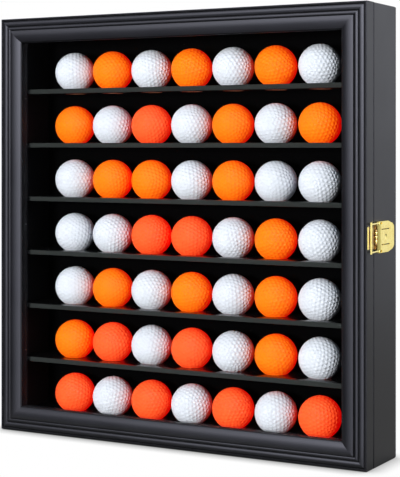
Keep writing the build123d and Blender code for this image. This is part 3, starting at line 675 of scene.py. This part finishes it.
hardwareSet = {
    # node: body, slot, finish, rounding of its edges in mm
    "latch_lever": ("latch_lever", "polished_brass", polishedBrass, 0.22),
    "latch_loop": ("latch_loop", "polished_brass", polishedBrass, 0.20),
    "latch_base": ("cabinet", "polished_brass", polishedBrass, 0.15),
    "latch_keeper": ("door", "polished_brass", polishedBrass, 0.15),
    "hinge_leaves_case": ("cabinet", "polished_brass", polishedBrass, 0.15),
    "hinge_leaves_door": ("door", "polished_brass", polishedBrass, 0.15),
    "hinge_pins": ("cabinet", "polished_brass", polishedBrass, 0.25),
    "wall_hangers": ("cabinet", "zinc_steel", zincSteel, 0.12),
    "hanger_nails": ("cabinet", "zinc_steel", zincSteel, 0.12),
}
for nodeName, (body, slotName, finish, ease) in hardwareSet.items():
    mesh = easedMesh(f"{nodeName}_eased", nodeName, ease)
    mesh.materials.append(finish)
    mesh.materials.append(shadedBrass)
    if nodeName == "latch_lever":  # its barrel is painted with shade, so the base's knuckles stand out
        for face in mesh.polygons:
            face.material_index = int(nearAxis(face))
    if nodeName == "latch_base":  # all but its knuckles are painted with shade
        for face in mesh.polygons:
            face.material_index = int(not nearAxis(face))
        addShadeApron(mesh)
    if nodeName == "latch_keeper":
        behind = min(corner[1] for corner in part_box(nodeName)) + latchSet["keeperShade"]
        for face in mesh.polygons:
            face.material_index = int(face.center.y > behind)
    piece = addPiece(f"{nodeName}_eased", mesh, body, slotName, nodeName)
    if finish == polishedBrass:
        brassOnly.objects.link(piece)
    even = piece.modifiers.new("even_shading", "WEIGHTED_NORMAL")
    even.keep_sharp = True
print("latch, hinges and hangers made")


feltSet = {
    "across": 90, "up": 94,  # cells of the mesh
    "ripple": 0.16 * mm,
    "waves": 14, "lengths": (0.012, 0.09),  # metres from wave to wave
    "seed": 7,
    "sharp": 40,  # degrees
}


def feltSheet():
    # a thin closed sheet, pressed on the back board, with a slightly uneven face
    low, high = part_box("felt_lining")
    xs = np.linspace(low.x, high.x, feltSet["across"] + 1)
    zs = np.linspace(low.z, high.z, feltSet["up"] + 1)
    gridX, gridZ = np.meshgrid(xs, zs)
    chance = random.Random(feltSet["seed"])
    face = np.zeros_like(gridX)
    for _ in range(feltSet["waves"]):
        heading, length = chance.uniform(0, math.tau), chance.uniform(*feltSet["lengths"])
        phase = (gridX * math.cos(heading) + gridZ * math.sin(heading)) * math.tau / length
        face += np.sin(phase + chance.uniform(0, math.tau))
    face = (face - face.min()) / (face.max() - face.min()) * feltSet["ripple"] + low.y
    count, wide = gridX.size, len(xs)
    fronts = np.stack([gridX.ravel(), face.ravel(), gridZ.ravel()], 1)
    backs = np.stack([gridX.ravel(), np.full(count, high.y), gridZ.ravel()], 1)
    faces = []
    for i in range(len(zs) - 1):
        for j in range(wide - 1):
            a = i * wide + j
            faces.append((a, a + 1, a + wide + 1, a + wide))
            faces.append((a + count, a + wide + count, a + wide + 1 + count, a + 1 + count))
    rim = list(range(wide)) + [i * wide + wide - 1 for i in range(1, len(zs))]
    rim += [(len(zs) - 1) * wide + j for j in range(wide - 2, -1, -1)]
    rim += [i * wide for i in range(len(zs) - 2, 0, -1)]
    for first, second in zip(rim, rim[1:] + rim[:1]):
        faces.append((first, first + count, second + count, second))
    mesh = bpy.data.meshes.new("felt_sheet")
    mesh.from_pydata(np.concatenate([fronts, backs]).tolist(), [], faces)
    mesh.materials.append(finishes["black_felt"])
    mesh.shade_smooth()
    mesh.set_sharp_from_angle(angle=math.radians(feltSet["sharp"]))
    sheet = addPiece("felt_sheet", mesh, "cabinet", "black_felt", "felt_lining")


feltSheet()

padSet = {
    "turns": 40, "rings": 4,  # points round the pad, and rings of them up its rounded rim
    "crown": 0.25, "rim": 0.3,  # shares of the pad's thickness
    "pull": 0.12, "dome": 0.5, "top": 0.2,  # shares of its radius
    "left": 0.25,  # share of the crown that the dome has still to rise
    "sharp": 50,  # degrees
}


def crownedPads():
    # felt dots: flat on the door, slightly domed towards the case
    low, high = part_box("door_pads")
    thick, x = high.y - low.y, (low.x + high.x) / 2
    radius = (high.x - low.x) / 2
    outline = [(radius, 0.0), (radius, thick * (1 - padSet["crown"] - padSet["rim"]))]
    for i in range(1, padSet["rings"] + 1):
        share = i / padSet["rings"]
        across = radius * (1 - padSet["pull"] * share)
        outline.append((across, thick * (1 - padSet["crown"] - padSet["rim"] * (1 - share) ** 2)))
    outline.append((radius * padSet["dome"], thick * (1 - padSet["crown"] * padSet["left"])))
    outline.append((radius * padSet["top"], thick))
    turns = padSet["turns"]
    points, faces = [], []
    for z in (low.z + radius, high.z - radius):
        start = len(points)
        for across, out in outline:
            for k in range(turns):
                angle = math.tau * k / turns
                points.append((x + across * math.cos(angle), low.y + out, z + across * math.sin(angle)))
        for ring in range(len(outline) - 1):
            for k in range(turns):
                a, b = start + ring * turns + k, start + ring * turns + (k + 1) % turns
                faces.append((a, a + turns, b + turns, b))
        faces.append(tuple(start + k for k in range(turns)))
        faces.append(tuple(start + (len(outline) - 1) * turns + k for k in range(turns - 1, -1, -1)))
    mesh = bpy.data.meshes.new("door_felt_dots")
    mesh.from_pydata(points, [], faces)
    mesh.materials.append(finishes["pad_felt"])
    mesh.shade_smooth()
    mesh.set_sharp_from_angle(angle=math.radians(padSet["sharp"]))
    addPiece("door_felt_dots", mesh, "door", "pad_felt", "door_pads")


crownedPads()
print("felt made")


dress(blackLacquer, "side_panel_left", "side_panel_right", "top_panel", "bottom_panel")
dress(finishes["bead_black_and_groove_shade"], "glazing_bead_top", "glazing_bead_bottom", "glazing_bead_left",
      "glazing_bead_right")
dress(finishes["back_black"], "back_panel")
dress(clearPane, "glazing_pane")
dress(rawWood, "case_dowels", "mitre_keys")
dress(zincSteel, "back_brads", "glazing_pins")
dress(polishedBrass, "hinge_screws_case", "hinge_screws_door", "latch_base_screws", "latch_keeper_screws",
      "latch_lever_pin", "latch_loop_pin")
print("finishes on the pieces that keep their shape")
